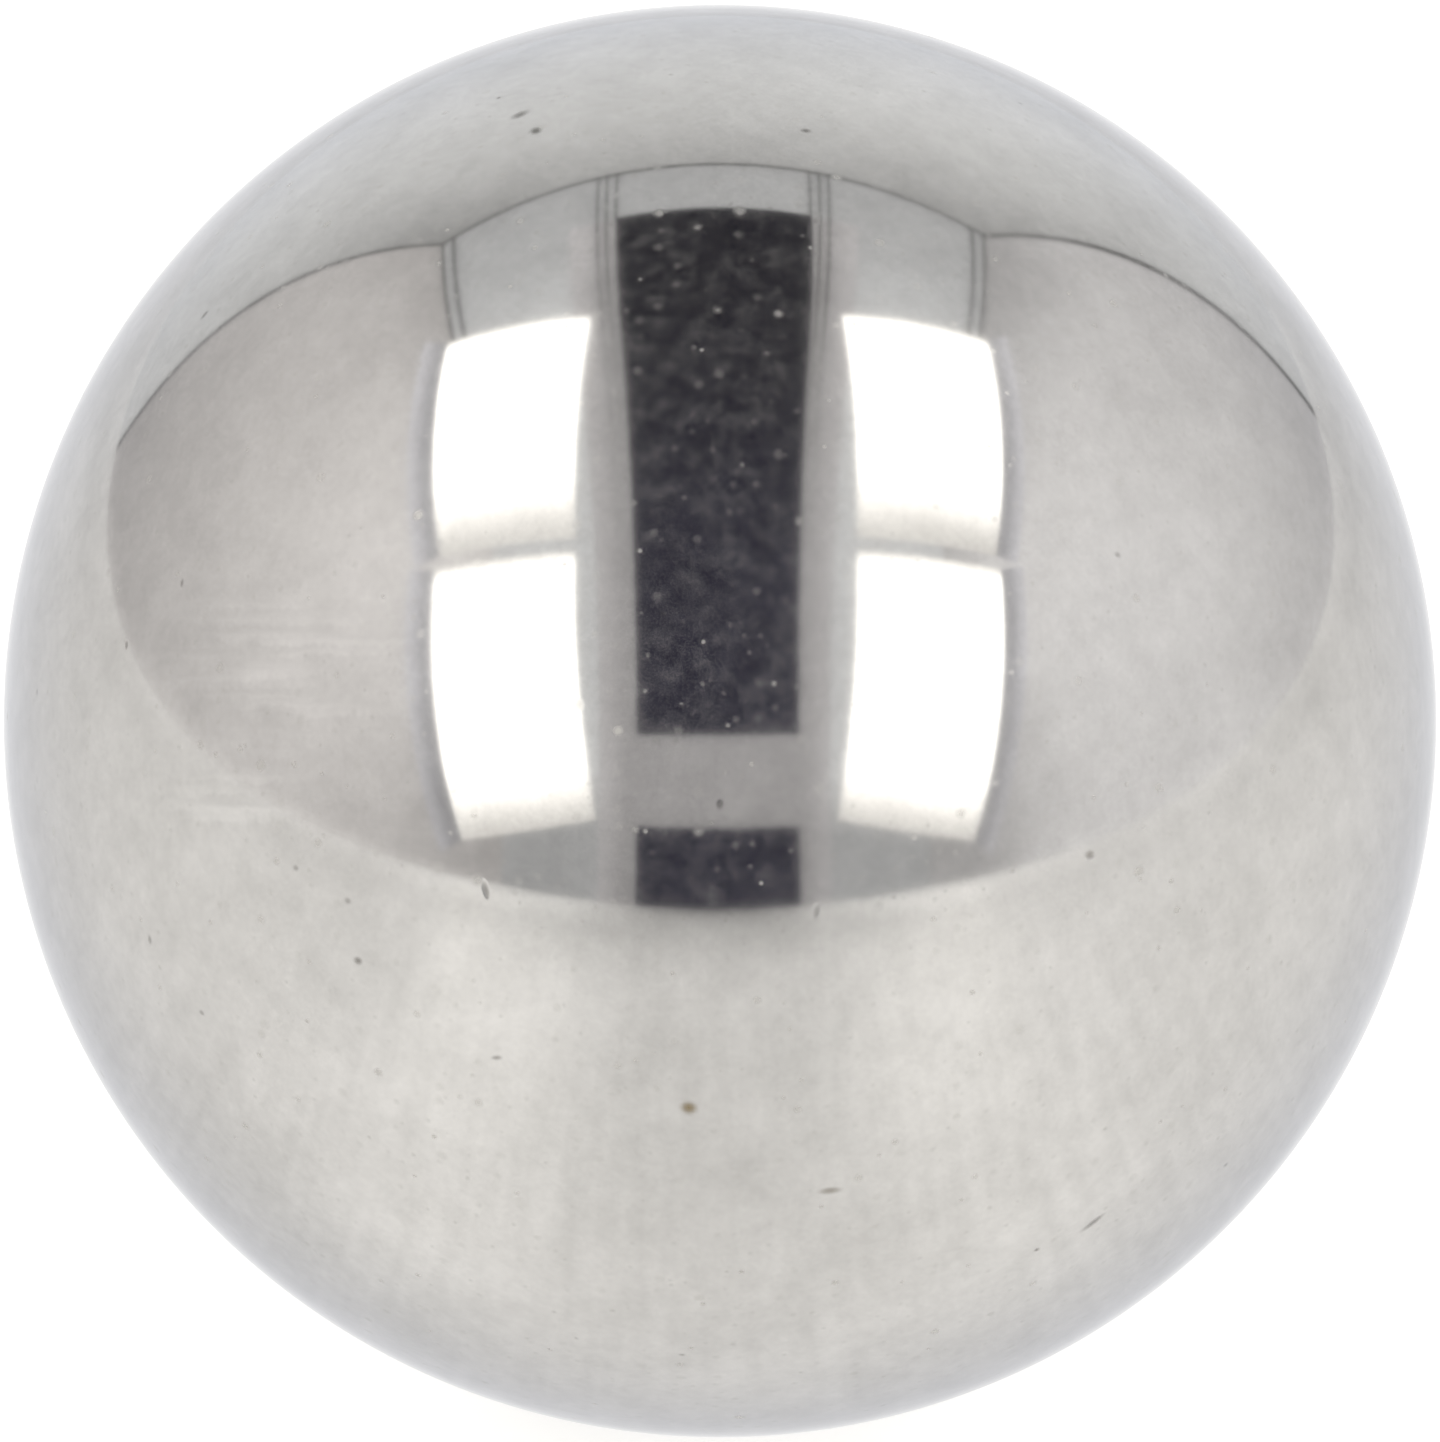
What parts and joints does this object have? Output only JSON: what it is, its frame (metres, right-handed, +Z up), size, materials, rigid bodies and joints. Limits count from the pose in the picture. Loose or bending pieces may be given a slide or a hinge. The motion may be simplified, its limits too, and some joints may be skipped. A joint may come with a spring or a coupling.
{
  "type": "steel ball",
  "caption": "Solid mirror-polished steel ball, ground and lapped to a true sphere, for a bearing, ball seat, detent, check valve or desk weight.",
  "frame": {"origin": "the ball's centre", "axes": "+Z up, away from the seat the ball lies in; every axis through the centre is an axis of symmetry"},
  "size_m": [0.0254, 0.0254, 0.0254],
  "materials": {
    "polished_steel": "hardened bearing steel, ground and lapped to a mirror, with fine pits, light hazy streaks and a few small nicks"
  },
  "bodies": {
    "root": {"ball": "polished_steel"}
  },
  "joints": []
}
